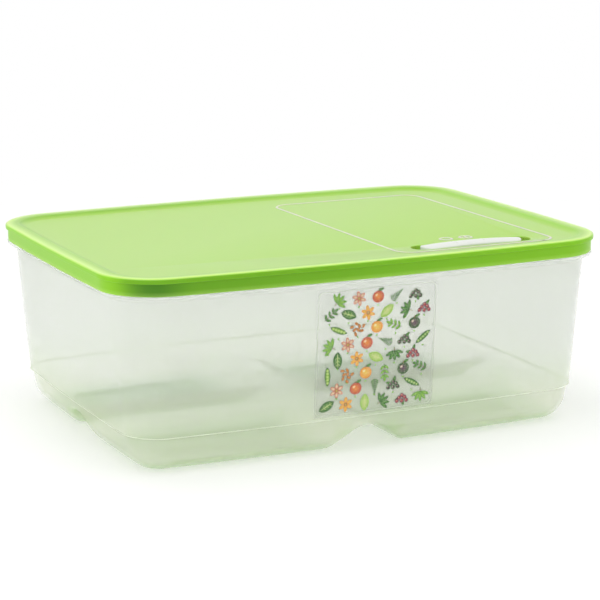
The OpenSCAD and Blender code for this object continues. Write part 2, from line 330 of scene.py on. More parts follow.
def new_material(name, roughness):
    """A material, its nodes, its links and its plain plastic shader."""
    material = bpy.data.materials.new(name)
    material.use_nodes = True
    nodes = material.node_tree.nodes
    links = material.node_tree.links
    shader = nodes["Principled BSDF"]
    shader.inputs["Roughness"].default_value = roughness
    shader.inputs["IOR"].default_value = 1.49
    return material, nodes, links, shader


def object_noise(nodes, links, scale, detail=3.0):
    """Noise on the piece's own coordinates, in metres."""
    where = nodes.new("ShaderNodeTexCoord")
    noise = nodes.new("ShaderNodeTexNoise")
    noise.inputs["Scale"].default_value = scale
    noise.inputs["Detail"].default_value = detail
    links.new(where.outputs["Object"], noise.inputs["Vector"])
    return noise.outputs["Fac"]


def fine_grain(nodes, links, shader, scale, depth_mm):
    """The fine grain that a satin mould leaves."""
    bump = nodes.new("ShaderNodeBump")
    bump.inputs["Strength"].default_value = 1.0
    bump.inputs["Distance"].default_value = depth_mm * MM
    links.new(object_noise(nodes, links, scale, 2.0), bump.inputs["Height"])
    links.new(bump.outputs["Normal"], shader.inputs["Normal"])


def in_range(nodes, links, value, low, high, start=0.0, stop=1.0, kind="LINEAR"):
    """Turns low to high into start to stop, in a straight line or with soft ends."""
    share = nodes.new("ShaderNodeMapRange")
    share.interpolation_type = kind
    for name, number in (("From Min", low), ("From Max", high), ("To Min", start), ("To Max", stop)):
        share.inputs[name].default_value = number
    links.new(value, share.inputs["Value"])
    return share.outputs["Result"]


def height_share(nodes, links, low_mm, high_mm):
    """0 below one height of the piece and 1 above another, smooth between."""
    where = nodes.new("ShaderNodeTexCoord")
    split = nodes.new("ShaderNodeSeparateXYZ")
    links.new(where.outputs["Object"], split.inputs["Vector"])
    return in_range(nodes, links, split.outputs["Z"], low_mm * MM, high_mm * MM, kind="SMOOTHSTEP")


def vertex_value(nodes, name, kind="Fac"):
    """The number or the colour that each vertex keeps under a name."""
    kept = nodes.new("ShaderNodeAttribute")
    kept.attribute_name = name
    return kept.outputs[kind]


def blend_colour(nodes, links, share, low, high):
    """One colour where share is 0, and another where it is 1. Each is a value or a socket."""
    mix = nodes.new("ShaderNodeMix")
    mix.data_type = "RGBA"
    if isinstance(share, float):
        mix.inputs["Factor"].default_value = share
    else:
        links.new(share, mix.inputs["Factor"])
    for socket, colour in (("A", low), ("B", high)):
        place = [s for s in mix.inputs if s.name == socket and s.type == "RGBA"][0]
        if isinstance(colour, tuple):
            place.default_value = colour
        else:
            links.new(colour, place)
    return [s for s in mix.outputs if s.type == "RGBA"][0]


def let_light_in(shader, weight, reach_mm, by_colour):
    """Lets light wander through the thin wall, further in some colours than in others."""
    shader.inputs["Subsurface Weight"].default_value = weight
    shader.inputs["Subsurface Radius"].default_value = by_colour
    shader.inputs["Subsurface Scale"].default_value = reach_mm * MM


print("a screen grey of 128 is", round(linear(128, 128, 128)[0], 3), "in linear light")

# %% [markdown]
# The tub is natural polypropylene: milky, and clear enough to see the floor's ribs through the
# front wall. A plain alpha on the shader shows what is behind it, and each wall has two faces, so
# looking through a wall passes two of them. Green light from the lid gathers in the lower part, so
# the colour turns from a warm grey at the top to a soft green at the base.

# %% Frosted bin plastic
sole_glow_green = linear(168, 210, 122)
channel_glow_green = linear(168, 208, 108)
base_green = linear(243, 247, 226)
low_green = linear(230, 240, 216)
clear_grey = linear(231, 234, 229)
cloud_white = linear(240, 243, 236)


def frosted_plastic(name, alpha):
    """Milky plastic, with painted green light: green at the sole, pale above it, and grey at the top.
    """
    material, nodes, links, shader = new_material(name, 0.34)
    shader.inputs["Alpha"].default_value = alpha
    shader.inputs["Specular IOR Level"].default_value = 0.28
    # Painted light: the colour by height stands for green light that gathers at the sole and low in the
    # bin.
    tone = sole_glow_green
    for low, high, above in ((0, 10, base_green), (10, 40, low_green), (20, 66, clear_grey)):
        tone = blend_colour(nodes, links, height_share(nodes, links, low, high), tone, above)
    # Painted light: the ribs and the channels' mouths get the green light that gathers in them.
    tone = blend_colour(nodes, links, vertex_value(nodes, "channel"), tone, channel_glow_green)
    cloud = in_range(nodes, links, object_noise(nodes, links, 14.0), 0.3, 0.75, 0.0, 0.12)
    mixed = blend_colour(nodes, links, cloud, tone, cloud_white)
    links.new(mixed, shader.inputs["Base Color"])
    fine_grain(nodes, links, shader, 900.0, 0.012)
    let_light_in(shader, 1.0, 4.0, (1.0, 1.0, 1.0))
    return material


frosted = frosted_plastic("frosted_polypropylene", 0.26)
# A denser copy paints the step's ledge as a pale highlight.
step_highlight = frosted_plastic("frosted_step", 0.65)
print("bin plastic ready")

# %% [markdown]
# The lid is the same plastic with a green pigment and a satin face. Seen at a low angle it mirrors
# the bright studio, which makes the panel pale, and the colour paints more of that paleness into the
# panel. The skirt gets painted shade, the rim's edges a painted glow, and the pigment a slight cloud.

# %% Green lid plastic
skirt_green = linear(143, 207, 36)
shade_green = linear(70, 134, 20)
glow_green = linear(206, 240, 128)
cloud_green = linear(186, 224, 108)


def green_plastic(name, panel_tone):
    """Lid plastic: painted shade or light in the skirt, painted paler in the panel, and a painted glow
    at its edges.
    """
    material, nodes, links, shader = new_material(name, 0.30)
    # Painted light and shade: depth darkens the skirt, panel pales the panel, and edge brightens the
    # rim's edges.
    tone = skirt_green
    for layer, other in (("depth", shade_green), ("panel", panel_tone), ("edge", glow_green)):
        tone = blend_colour(nodes, links, vertex_value(nodes, layer), tone, other)
    paler = blend_colour(nodes, links, object_noise(nodes, links, 9.0), tone, cloud_green)
    cloudy = blend_colour(nodes, links, 0.12, tone, paler)
    links.new(cloudy, shader.inputs["Base Color"])
    shine = in_range(nodes, links, vertex_value(nodes, "panel"), 0.0, 1.0, 0.14, 0.52)
    links.new(shine, shader.inputs["Specular IOR Level"])
    fine_grain(nodes, links, shader, 1100.0, 0.010)
    let_light_in(shader, 0.8, 1.8, (0.7, 1.0, 0.3))
    return material


green = green_plastic("satin_green_polypropylene", linear(164, 208, 74))
# The paler copy paints a highlight on the raised line and the marks.
ridge_highlight_green = green_plastic("pale_green_painted_highlight", linear(232, 246, 206))
print("lid plastic ready")

# %% [markdown]
# The slider is harder and glossier than the lid, and an opaque white. Its mould is polished, so its
# grain is fine and shallow.

# %% Glossy white slider plastic
white, nodes, links, shader = new_material("glossy_white_plastic", 0.16)
cloud = object_noise(nodes, links, 60.0)
shade = blend_colour(nodes, links, cloud, linear(216, 220, 212), linear(228, 231, 224))
links.new(shade, shader.inputs["Base Color"])
fine_grain(nodes, links, shader, 700.0, 0.004)
print("slider plastic ready")

# %% [markdown]
# The film on the front is clear, and only its gloss shows. Its inks are small meshes on the film,
# and their colour is kept on their vertices, so that a leaf can be dark at its edge and light along
# its middle.

# %% Film and inks
film, nodes, links, shader = new_material("clear_film", 0.12)
shader.inputs["Alpha"].default_value = 0.04
cloud = object_noise(nodes, links, 40.0)
tint = blend_colour(nodes, links, cloud, linear(236, 240, 232), linear(246, 248, 243))
links.new(tint, shader.inputs["Base Color"])

inks, nodes, links, shader = new_material("printed_inks", 0.38)
speck = in_range(nodes, links, object_noise(nodes, links, 1500.0), 0.45, 0.8, 0.0, 0.35)
ink = vertex_value(nodes, "ink", "Color")
printed = blend_colour(nodes, links, speck, ink, linear(238, 238, 214))
links.new(printed, shader.inputs["Base Color"])
print("film and inks ready")

# %% [markdown]
# ## The bin
# The tub is one moulding, so it is one closed mesh. It starts as a grid for the underside of the
# floor. The grid's border is extruded ring by ring: round the foot, up the wall, over the flange and
# the rim bead, and down the inside to a copy of the grid, which is the floor's upper face. The
# channels between the feet lift whatever lies inside them, with soft edges, so the same rule shapes
# the floor and the lower wall.

# %% Channels and ribs
arch_blend = 7.0
rib_edge = 2.6


def channel_height(distance):
    """The S-shaped flank of a channel, by the distance from its middle."""
    share = (abs(distance) - arch_top_w / 2) / ((arch_w - arch_top_w) / 2)
    share = min(max(share, 0.0), 1.0)
    return arch_h * (0.5 + 0.5 * cos(pi * share))


def soft_max(a, b, blend):
    """The larger of two heights, with their meeting line rounded off."""
    blend = min(blend, max(min(a, b), 0.0) * 1.2)
    if blend <= 0:
        return max(a, b)
    near = max(blend - abs(a - b), 0.0) / blend
    return max(a, b) + near * near * blend / 4


def lifted(x, y, height):
    """A height of the lower skin, lifted where a channel passes."""
    cross = soft_max(channel_height(x), channel_height(y), arch_blend)
    return soft_max(height, cross, arch_blend)


foot_in = wall_in_low + step_w
turn_z = foot_r * (1 - sin(foot_lean))
turn_in = foot_in + (step_h - turn_z) * tan(foot_lean)
sole_in = turn_in + foot_r * cos(foot_lean)
rib_y0 = arch_w / 2 + rib_w / 2 + 2
rib_y1 = body_w / 2 - sole_in - rib_w / 2 - 1
rib_x0 = arch_w / 2 + 6
rib_x1 = body_l / 2 - sole_in - 4


def rib_share(x, y, half_width):
    """1 on a drip rib, 0 beside it, and smooth between."""
    most = 0.0
    for i in range(rib_n):
        middle = rib_y0 + (rib_y1 - rib_y0) * i / (rib_n - 1)
        near_x = min(max(abs(x), rib_x0 + half_width), rib_x1 - 2 * i - half_width)
        gap = hypot(abs(x) - near_x, abs(y) - middle)
        most = max(most, smooth_share(half_width - gap, -rib_edge / 2, rib_edge / 2))
    return most


print("sole inset", round(sole_in, 2), "mm, ribs every", round((rib_y1 - rib_y0) / (rib_n - 1), 2))

# %% [markdown]
# The grid's border has one point for each point of the outline, so the wall grows out of it without
# a seam. The points inside are spread between the border's four sides.

# %% The floor's grid
bin_corner_n = 32
bin_side_n = 112
bin_end_n = 72
bin_points = outline_points(bin_corner_n, bin_side_n, bin_end_n)
grid_x = bin_corner_n + bin_side_n
grid_y = bin_corner_n + bin_end_n


def border_point(number):
    """A point of the floor's border, by its number in the outline."""
    return Vector(taken_in(bin_points[number % len(bin_points)], sole_in))


def border_number(i, j):
    """The outline point at a cell corner of the grid's border, or None inside."""
    if j == 0:
        return i
    if i == grid_x:
        return grid_x + j
    if j == grid_y:
        return 2 * grid_x + grid_y - i
    if i == 0:
        return (2 * (grid_x + grid_y) - j) % len(bin_points)
    return None


def floor_place(i, j):
    """A point of the grid, spread evenly between the four sides of its border."""
    u = i / grid_x
    v = j / grid_y
    front = border_point(i)
    rear = border_point(2 * grid_x + grid_y - i)
    left = border_point(2 * (grid_x + grid_y) - j)
    right_side = border_point(grid_x + j)
    corners = (
        border_point(0) * (1 - u) * (1 - v) + border_point(grid_x) * u * (1 - v)
        + border_point(grid_x + grid_y) * u * v + border_point(2 * grid_x + grid_y) * (1 - u) * v
    )
    return front * (1 - v) + rear * v + left * (1 - u) + right_side * u - corners


tub = bmesh.new()
label = tub.verts.layers.int.new("point")
bmesh.ops.create_grid(tub, x_segments=grid_x, y_segments=grid_y, size=1)
for vert in tub.verts:
    i = round((vert.co.x + 1) / 2 * grid_x)
    j = round((vert.co.y + 1) / 2 * grid_y)
    number = border_number(i, j)
    vert[label] = -1 if number is None else number
    x, y = floor_place(i, j)
    vert.co = (x, y, 0)
under_faces = list(tub.faces)
rim_edges = [edge for edge in tub.edges if edge.is_boundary]
print("floor grid", grid_x, "x", grid_y, "with", len(rim_edges), "border edges")

# %% [markdown]
# The upper face of the floor is a copy of the grid, raised by the wall's thickness. The ribs stand
# up on it, and show as shallow grooves underneath.

# %% Upper and lower floor
copied = bmesh.ops.duplicate(tub, geom=list(tub.verts) + list(tub.edges) + under_faces)["geom"]
floor_verts = [item for item in copied if isinstance(item, bmesh.types.BMVert)]
upper = set(floor_verts)
for vert in tub.verts:
    x, y, _ = vert.co
    skin_t = wall_t if vert in upper else 0.0
    half_width = (rib_w - wall_t + skin_t) / 2
    rib = rib_share(x, y, half_width) if vert[label] < 0 else 0.0
    vert.co.z = skin_t + lifted(x, y, 0.0) + rib_h * rib
print("floor raised to", round(max(v.co.z for v in floor_verts), 2), "mm")

# %% [markdown]
# The section of the wall runs from the sole to the rim and down the inside. The step low on the wall
# keeps a small radius, which catches the light as a thin line. The rim bead is what the lid seals on.

# %% Section of the wall
inner_slope = (wall_in_low - wall_in_top) / (flange_z - 4.3 - step_h)
inner_t = wall_t / cos(atan(inner_slope))
bead_in = lip_over + skirt_t + lid_gap
stand_in = bead_in + bead_w - wall_t
bead_z = body_h - lid_t - lid_gap


def foot_turn(radius, steps, height):
    """The arc from the sole to the foot's side, as (inset, height) pairs."""
    run = []
    for i in range(1, steps + 1):
        angle = pi / 2 + (foot_lean - pi / 2) * i / steps
        run.append((sole_in - radius * cos(angle), height - radius * sin(angle)))
    return run


outside = rounded([
    (turn_in, turn_z, 0),
    (turn_in - (turn_in - foot_in) * 0.5, (turn_z + step_h) / 2, 0),
    (foot_in, step_h - 0.2, 0.8),
    (wall_in_low - 0.25, step_h + 0.1, 0.5),
    (wall_in_low - 0.05, step_h + 1.4, 1.5),
    ((wall_in_low + wall_in_top) / 2, (step_h + flange_z - 3.7) / 2, 0),
    (wall_in_top, flange_z - 4.3, 2.0),
    (lip_over + 0.1, flange_z - 1.9, 1.2),
    (lip_over - 0.5, flange_z - 1.2, 0.5),
    (lip_over - 0.5, flange_z, 0.4),
    (stand_in, flange_z, 0.4),
    (stand_in, bead_z - 3.9, 0.5),
    (bead_in, bead_z - 3.1, 0.6),
    (bead_in, bead_z - 0.1, 1.2),
    (bead_in + bead_w, bead_z - 0.1, 1.2),
    (bead_in + bead_w, flange_z, 0.8),
    (wall_in_top + inner_t, flange_z - 0.6, 0.8),
    (wall_in_top + inner_t, flange_z - 4.3, 2.0),
    ((wall_in_low + wall_in_top) / 2 + inner_t, (step_h + flange_z - 1.9) / 2, 0),
    (wall_in_low + inner_t, step_h + 2.6, 1.5),
    (foot_in + wall_t, step_h + 1.6, 0.8),
    (foot_in + wall_t, step_h + 0.2, 0),
])[1:]
print(len(outside), "rings above the foot")

# %% [markdown]
# The rings run up the outside and down the inside, and end on the border of the floor's upper face.
# Then the channels lift the low rings, each skin by its own rule, so the wall keeps its thickness.

# %% Walls of the bin
lower_run = foot_turn(foot_r, 16, foot_r)
inner_run = foot_turn(foot_r - wall_t, 14, foot_r)[::-1]
edges = loft(tub, bin_points, lower_run, rim_edges)
edges = loft(tub, bin_points, outside, edges)
edges = loft(tub, bin_points, inner_run, edges)
edges = loft(tub, bin_points, [(sole_in, wall_t)], edges)


def on_inner_skin(vert):
    """Whether a vertex of the foot's wall lies on the inside of the bin."""
    x, y, z = vert.co
    centre, radius, _ = bin_points[vert[label]]
    inset = radius - hypot(x - centre[0], y - centre[1])
    if z > turn_z:
        return inset > turn_in - (z - turn_z) * tan(foot_lean) + wall_t / 2
    skin = foot_r - sqrt(max(foot_r ** 2 - (sole_in - inset) ** 2, 0.0))
    return z > skin + wall_t / 2


floor_and_under = upper | {vert for face in under_faces for vert in face.verts}
for vert in tub.verts:
    if vert in floor_and_under or vert.co.z > step_h - 0.5:
        continue
    x, y, z = vert.co
    vert.co.z = wall_t + lifted(x, y, z - wall_t) if on_inner_skin(vert) else lifted(x, y, z)
bmesh.ops.remove_doubles(tub, verts=tub.verts, dist=0.001)
bmesh.ops.recalc_face_normals(tub, faces=tub.faces)
print("open edges:", sum(1 for edge in tub.edges if not edge.is_manifold))

# %% [markdown]
# The small ledge of the step gathers light, so it shows as a thin pale line round the bin. Its faces
# are found by their height and by how far in they lie, and take a denser version of the plastic,
# which paints that line as a highlight. The ribs and the mouths of the channels are painted greener
# than the rest, for the green light that gathers in them, and a number on each vertex says how much it
# belongs to them.

# %% Finish the bin
# How much painted green light each vertex gets, in the channels' mouths and on the ribs.
channel_glow_layer = tub.verts.layers.float.new("channel")
for vert in tub.verts:
    x, y, z = vert.co
    mouth = smooth_share(abs(x), 140.0, 165.0) + smooth_share(abs(y), 90.0, 115.0)
    share = max(channel_height(x), channel_height(y)) / arch_h * min(0.35 + 0.65 * mouth, 1.0)
    rib = 0.6 * rib_share(x, y, rib_w / 2) if z < 6 else 0.0
    vert[channel_glow_layer] = max(share * (1 - smooth_share(z, 13.0, 20.0)), rib)
ledge_faces = 0
for face in tub.faces:
    middle = face.calc_center_median()
    if abs(middle.z - step_h - 0.1) < 0.5 and inset_of(middle.x, middle.y) < foot_in + 0.4:
        face.material_index = 1
        ledge_faces += 1
print(ledge_faces, "faces on the step's ledge")
bin_piece = finish_piece(tub, "frosted_bin", "bin_body", [frosted, step_highlight])
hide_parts("bin")

# %% [markdown]
# ## The lid
# The lid is one moulding too: a sunk panel, a crest that runs over the rim, a lip that stands out
# over the skirt, and an inner wall that seals against the rim bead. Its panel is flat, so it is one
# large face. The rest is lofted round the outline.

# %% Section of the lid
crest_in = bead_in + bead_w + lid_gap + plug_t / 2
plug_in = bead_in + bead_w + lid_gap
slope_steps = 12


def slope_point(step, drop):
    """The S-shaped slope from the panel, at step 0, up to the crest."""
    share = 1 - step / slope_steps
    inset = crest_in + (panel_in - crest_in) * share
    return inset, body_h - drop - (body_h - panel_z) * (0.5 - 0.5 * cos(pi * share))


over = [slope_point(i, 0.0) for i in range(slope_steps + 1)]
rim = rounded([
    (crest_in, body_h, 0),
    (1.4, body_h, 0.7),
    (0.0, body_h - 0.9, 0.7),
    (0.0, body_h - 3.6, 0.4),
    (lip_over, body_h - 4.0, 0.5),
    (lip_over + 0.07, skirt_z + 3.2, 0),
    (lip_over + 0.1, skirt_z, 0.4),
    (lip_over + skirt_t, skirt_z, 0.4),
    (lip_over + skirt_t, body_h - lid_t, 0.5),
    (plug_in, body_h - lid_t, 0.5),
    (plug_in + 0.2, body_h - 9.0, 0.4),
    (plug_in + plug_t, body_h - 9.0, 0.4),
    (plug_in + plug_t, body_h - lid_t - 0.3, 0),
], 5)[1:]
under = [slope_point(i, lid_t) for i in range(slope_steps, -1, -1)]
under = [pair for pair in under if pair[0] > plug_in + plug_t + 0.3]
print(len(over) + len(rim) + len(under), "rings on the lid")

# %% [markdown]
# The rings start at the edge of the panel's upper face and end at the edge of its lower face. Each
# face of the panel then fills its ring.

# %% Panel, rim, skirt and sealing wall
lid_points = outline_points(32, 56, 40)
cover = bmesh.new()
edges = loft(cover, lid_points, over[:1])
first_edges = list(edges)
edges = loft(cover, lid_points, over[1:] + rim + under, edges)
bmesh.ops.edgenet_fill(cover, edges=first_edges)
bmesh.ops.edgenet_fill(cover, edges=edges)
bmesh.ops.recalc_face_normals(cover, faces=cover.faces)
print("open edges:", sum(1 for edge in cover.edges if not edge.is_manifold))

# %% [markdown]
# ## The vent's recess
# The slider runs in a long recess with round ends. A cutter of the same shape takes it out of the
# panel, after a shallow pocket is added below, so that the recess keeps its floor. The cutter's rims
# are rounded, because a moulded edge is never knife sharp. Air slots pierce the floor at the left.

# %% Shapes with round ends
recess_l, recess_w, recess_d, recess_t = 95.0, 17.0, 4.0, 1.6
vent_low, vent_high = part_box("vent_slider")
vent_x = in_mm((vent_low.x + vent_high.x) / 2)
vent_y = in_mm((vent_low.y + vent_high.y) / 2)
recess_z = panel_z - recess_d


def round_rect(length, width, radius, count, x=0.0, y=0.0):
    """Points round a rectangle with arc corners, anticlockwise, count to each corner."""
    points = []
    for sx, sy, start in ((1, -1, -pi / 2), (1, 1, 0), (-1, 1, pi / 2), (-1, -1, pi)):
        cx = x + sx * (length / 2 - radius)
        cy = y + sy * (width / 2 - radius)
        for i in range(count):
            angle = start + pi / 2 * i / (count - 1)
            points.append((cx + radius * cos(angle), cy + radius * sin(angle)))
    return points


def grown_rect(length, width, radius, count, x, y):
    """A rectangle with arc corners, as a rule that gives its points for any growth."""
    def outline_at(grow):
        return round_rect(length + 2 * grow, width + 2 * grow, radius + grow, count, x, y)
    return outline_at


def stadium_rings(bm, length, width, profile, count=16):
    """A closed shape with round ends at the vent's place, by (grow, height) pairs."""
    outline_at = grown_rect(length, width, width / 2 - 0.01, count, vent_x, vent_y)
    made, first, last = stack_rings(bm, profile, outline_at, 4 * count)
    bmesh.ops.edgenet_fill(bm, edges=first)
    bmesh.ops.edgenet_fill(bm, edges=last)
    bmesh.ops.recalc_face_normals(bm, faces=bm.faces)
    return made


def add_block(bm, x, y, z0, z1, length, width):
    """A plain block, by its middle, its two heights, its length and its width."""
    made = bmesh.ops.create_cube(bm, size=1)["verts"]
    bmesh.ops.scale(bm, vec=(length, width, z1 - z0), verts=made)
    bmesh.ops.translate(bm, vec=(x, y, (z0 + z1) / 2), verts=made)


print("vent at", vent_x, vent_y)

# %% [markdown]
# The pocket is the plastic that is added, and the recess is what is taken out of it. Four slots let
# air through at the left, four blind grooves match them at the right, and two longer slots guide the
# slider's stems.

# %% Pocket, recess and slots
edge_r = 0.6
pocket_r = 0.4
pocket = bmesh.new()
stadium_rings(pocket, recess_l, recess_w, [
    (recess_t - pocket_r, recess_z - recess_t),
    (recess_t, recess_z - recess_t + pocket_r),
    (recess_t, panel_z - lid_t / 2),
])
recess = bmesh.new()
stadium_rings(recess, recess_l, recess_w, [
    (-0.5, recess_z),
    (-0.15, recess_z + 0.15),
    (0.0, recess_z + 0.5),
    (0.0, panel_z - edge_r),
    (edge_r * 0.13, panel_z - edge_r * 0.5),
    (edge_r * 0.5, panel_z - edge_r * 0.13),
    (edge_r, panel_z + 0.02),
    (edge_r, panel_z + 3.0),
])
slots = bmesh.new()
slot_n, slot_w, slot_l, slot_pitch, slot_gap = 4, 1.6, 9.0, 3.4, 2.4
stem_x, guide_l, guide_w = 14.0, 18.6, 5.0
floor_low = recess_z - recess_t - 1
for i in range(slot_n):
    offset = recess_l / 2 - slot_gap - slot_w / 2 - i * slot_pitch
    length = slot_l - (slot_gap if i == 0 else 0.0)
    add_block(slots, vent_x - offset, vent_y, floor_low, recess_z + 1, slot_w, length)
    add_block(slots, vent_x + offset, vent_y, recess_z - recess_t / 2, recess_z + 1, slot_w, length)
for side in (-1, 1):
    add_block(slots, vent_x + side * stem_x, vent_y, floor_low, recess_z + 1, guide_l, guide_w)
print(len(slots.faces) // 6, "slots and grooves")

# %% [markdown]
# Boolean modifiers join the pocket to the lid and cut the rest. The exact solver keeps the result
# closed, which the count of open edges shows.

# %% Cut the recess out of the lid
def carve(target_bm, tools):
    """Joins or cuts with each tool in turn, and returns the result as a new bmesh."""
    work = as_object(target_bm, "work")
    helpers = []
    for operation, tool_bm in tools:
        tool = as_object(tool_bm, "tool")
        change = work.modifiers.new(operation.lower(), "BOOLEAN")
        change.operation = operation
        change.solver = "EXACT"
        change.object = tool
        helpers.append(tool)
    depsgraph = bpy.context.evaluated_depsgraph_get()
    result = bmesh.new()
    result.from_mesh(work.evaluated_get(depsgraph).to_mesh())
    for old in [work] + helpers:
        bpy.data.objects.remove(old)
    return result


cover = carve(cover, [("UNION", pocket), ("DIFFERENCE", recess), ("DIFFERENCE", slots)])
print("open edges:", sum(1 for edge in cover.edges if not edge.is_manifold))

# %% [markdown]
# Fine upright ribs line the round ends of the recess, a thin raised line loops round the vent's side
# of the panel, and two small raised marks show which way the vent opens. They stand in the same
# mesh, sunk a little into it.

# %% Ribs at the recess's ends
end_rib_n = 15
end_rib_r = 0.42
for side in (-1, 1):
    for i in range(end_rib_n):
        angle = pi / 2 - pi * (i + 0.5) / end_rib_n
        x = vent_x + side * (recess_l / 2 - recess_w / 2 + recess_w / 2 * cos(angle))
        y = vent_y + recess_w / 2 * sin(angle)
        height = recess_d - edge_r
        made = bmesh.ops.create_cone(
            cover, cap_ends=True, segments=10, radius1=end_rib_r, radius2=end_rib_r, depth=height
        )["verts"]
        bmesh.ops.translate(cover, vec=(x, y, recess_z + height / 2 - 0.05), verts=made)
print(2 * end_rib_n, "ribs")

# %% [markdown]
# A raised line is a low ridge, swept along a closed line. It catches the light, so its faces take the
# paler material, which paints a highlight on it. The marks are generic: a ring, and one with a bar.

# %% Raised line and marks
line_w = 1.8
line_h = 0.4
loop_l, loop_r = 127.0, 14.0
loop_front, loop_back = 24.0, 39.0
loop_w = body_w - loop_front - loop_back
loop_y = (loop_front - loop_back) / 2


def raised_line(bm, length, width, radius, count, x, y):
    """A low ridge along a rectangle with arc corners, by the sizes of its middle line."""
    known = set(bm.faces)
    half = line_w / 2
    swell = [(half * 0.2, line_h), (half * 0.6, line_h * 0.75), (half, 0.05), (half, -0.3)]
    profile = [(-grow, height) for grow, height in reversed(swell)] + swell
    profile = [(grow, panel_z + height) for grow, height in profile]
    outline_at = grown_rect(length, width, radius, count, x, y)
    _, first, last = stack_rings(bm, profile, outline_at, 4 * count)
    bmesh.ops.bridge_loops(bm, edges=first + last)
    for face in set(bm.faces) - known:
        face.material_index = 1


raised_line(cover, loop_l - line_w, loop_w - line_w, loop_r - line_w / 2, 10, vent_x, loop_y)
mark_y, mark_r = vent_y + 20.9, 4.4
ring_x, bar_x = vent_x - 8.8, vent_x + 7.1
bar_w, bar_l = 1.4, 5.6
for mark_x in (ring_x, bar_x):
    raised_line(cover, 2 * mark_r, 2 * mark_r, mark_r - 0.01, 8, mark_x, mark_y)
known = set(cover.faces)
add_block(cover, bar_x, mark_y, panel_z - 0.3, panel_z + line_h, bar_w, bar_l)
for face in set(cover.faces) - known:
    face.material_index = 1
bmesh.ops.recalc_face_normals(cover, faces=cover.faces)
print("raised loop and two marks")

# %% [markdown]
# The panel is thin and lets light through, and it mirrors the bright studio, so it is painted paler and
# yellower than the thick rim. The rim's top edge gathers light, and a painted glow shows it as a bright
# line, with a softer one on the skirt's lower edge. The skirt gets painted shade, deepest just beside
# its left corners, and is painted brighter along its length. Three numbers on each vertex carry this to
# the material.

# %% Tones of the lid
panel_layer = cover.verts.layers.float.new("panel")
painted_shade_layer = cover.verts.layers.float.new("depth")
painted_glow_layer = cover.verts.layers.float.new("edge")
for vert in cover.verts:
    x, y, z = vert.co
    inside = inset_of(x, y)
    on_top = smooth_share(z, body_h - 0.9, body_h - 0.3) * (inside < 20)
    # panel is painted paleness, on the panel and a little on the rim's top.
    vert[panel_layer] = max(smooth_share(inside, 8.0, 16.0), 0.6 * on_top)
    # edge is a painted glow on the rim's top edge, and a softer one at the skirt's lower edge.
    low_edge = 0.3 * (1 - smooth_share(z, skirt_z, skirt_z + 3.0)) * (inside < 3.4)
    vert[painted_glow_layer] = max(on_top * (1 - smooth_share(inside, 1.6, 3.6)), low_edge)
    # depth is painted shade: heavier to the left and beside the left corners, lighter on the lip.
    round_end = smooth_share(abs(x), 164.0, 186.0)
    along = min(max(0.38 - 0.0015 * x, 0.15), 0.6) * (1 - round_end)
    beside = smooth_share(-x, 134.0, 162.0) * (1 - round_end) * (abs(y) > 80)
    depth = along + (1 - along) * beside
    vert[painted_shade_layer] = min(depth, 0.45) if z > body_h - 3.9 else depth
lid_piece = finish_piece(cover, "green_lid", "lid_body", [green, ridge_highlight_green])
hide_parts("lid")

# %% [markdown]
# ## The slider
# The slider is a low white bar with round ends. It is highest in the middle, falls a little to each
# end, and has a shallow mark for a finger. Rings step in from its outline, and each ring lies on the
# crowned top. Two hooked stems below hold it in the lid.

# %% Slider
slider_l = in_mm(vent_high.x - vent_low.x)
slider_w = in_mm(vent_high.y - vent_low.y)
top_z = in_mm(vent_high.z)
grip_low = recess_z + 0.3
end_fall, side_fall = 1.3, 1.2
finger_x, finger_l, finger_w, finger_d = vent_x - 2.0, 13.0, 10.0, 0.75


def crown(x, y):
    """The height of the slider's top."""
    along = end_fall * ((x - vent_x) / (slider_l / 2)) ** 2
    across = side_fall * ((y - vent_y) / (slider_w / 2)) ** 2
    near = 1 - hypot((x - finger_x) / (finger_l / 2), (y - vent_y) / (finger_w / 2)) ** 2
    return top_z - along - across - finger_d * smooth_share(near, 0.0, 1.0)


grip = bmesh.new()
turn_r = 0.9
crown_low = top_z - 3.0
profile = [(0.0, grip_low), (0.0, top_z - 4.0)]
for i in range(1, 6):
    angle = pi / 2 * i / 5
    profile.append((-turn_r * (1 - cos(angle)), top_z - turn_r * (1 - sin(angle))))
for inset in (2.2, 3.0, 3.9, 4.8, 5.7, 6.6, 7.4):
    profile.append((-inset, top_z))
made = stadium_rings(grip, slider_l, slider_w, profile, count=20)
for vert in made:
    if vert.co.z > crown_low:
        vert.co.z += crown(vert.co.x, vert.co.y) - top_z
long_edges = [
    edge for edge in grip.edges
    if edge.calc_length() > 20 and abs(edge.verts[0].co.y - edge.verts[1].co.y) < 0.01
]
bmesh.ops.subdivide_edges(grip, edges=long_edges, cuts=24, use_grid_fill=True)
for vert in grip.verts:
    if vert.co.z > crown_low:
        x, y, _ = vert.co
        rim_gap = slider_w / 2 - abs(y - vent_y)
        edge_drop = turn_r - sqrt(max(turn_r ** 2 - max(turn_r - rim_gap, 0.0) ** 2, 0.0))
        if abs(x - vent_x) < slider_l / 2 - slider_w / 2 - 0.05:
            vert.co.z = crown(x, y) - edge_drop
rib_x, rib_pitch, rib_t, rib_l = 11.0, 2.2, 0.9, 6.0
for side in (-1, 1):
    for i in range(3):
        x = finger_x + side * (rib_x + rib_pitch * i)
        height = crown(x, vent_y)
        add_block(grip, x, vent_y, height - 0.5, height + 0.02 - 0.1 * i, rib_t, rib_l - 1.2 * i)
hook_z = recess_z - recess_t - 0.3
hook_t, stem_l, stem_w, hook_w = 1.6, 4.0, 4.4, 8.6
for side in (-1, 1):
    x = vent_x + side * stem_x
    add_block(grip, x, vent_y, hook_z - hook_t / 2, grip_low + 1.0, stem_l, stem_w)
    add_block(grip, x, vent_y, hook_z - hook_t, hook_z, stem_l, hook_w)
slider_piece = finish_piece(grip, "white_slider", "vent_body", [white])
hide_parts("vent_slider")

